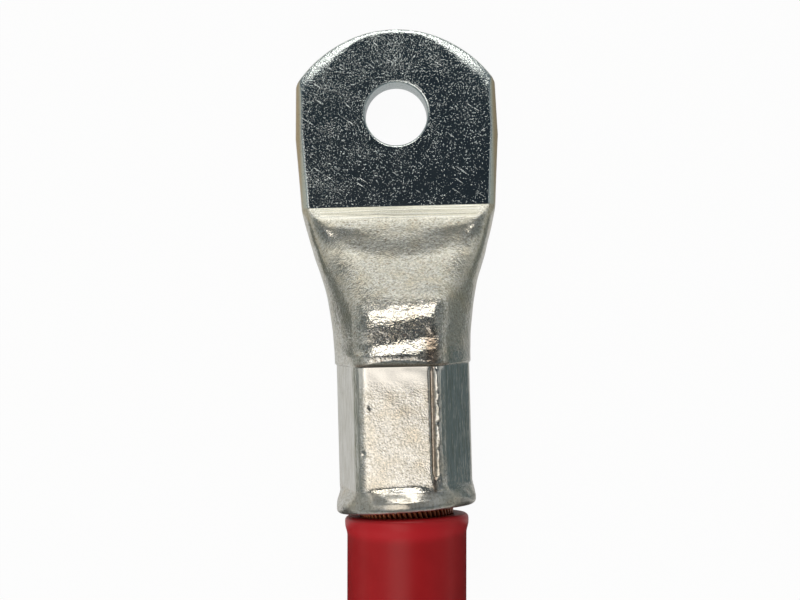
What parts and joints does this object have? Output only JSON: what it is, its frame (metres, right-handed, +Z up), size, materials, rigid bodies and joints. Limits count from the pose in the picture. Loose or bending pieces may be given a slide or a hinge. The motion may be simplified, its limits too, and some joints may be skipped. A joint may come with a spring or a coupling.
{
  "type": "crimped cable lug",
  "caption": "Tinned copper tube lug with a flat drilled palm, a sloped shoulder and a hexagonal crimp that holds the stranded end of a red insulated cable.",
  "frame": {"origin": "on the axis of the stud hole, in the plane of the palm's underside", "axes": "+Z up along the stud hole out of the palm's top face, +Y along the lug toward the palm's tip, cable leaving toward -Y, +X across the palm"},
  "size_m": [0.0212, 0.0644, 0.014],
  "materials": {
    "tinned_copper": "satin tin plating",
    "copper_strands": "bare drawn wire",
    "red_pvc": "smooth extruded sleeve"
  },
  "bodies": {
    "root": {"lug": "tinned_copper", "conductor": "copper_strands", "insulation": "red_pvc"}
  },
  "joints": []
}
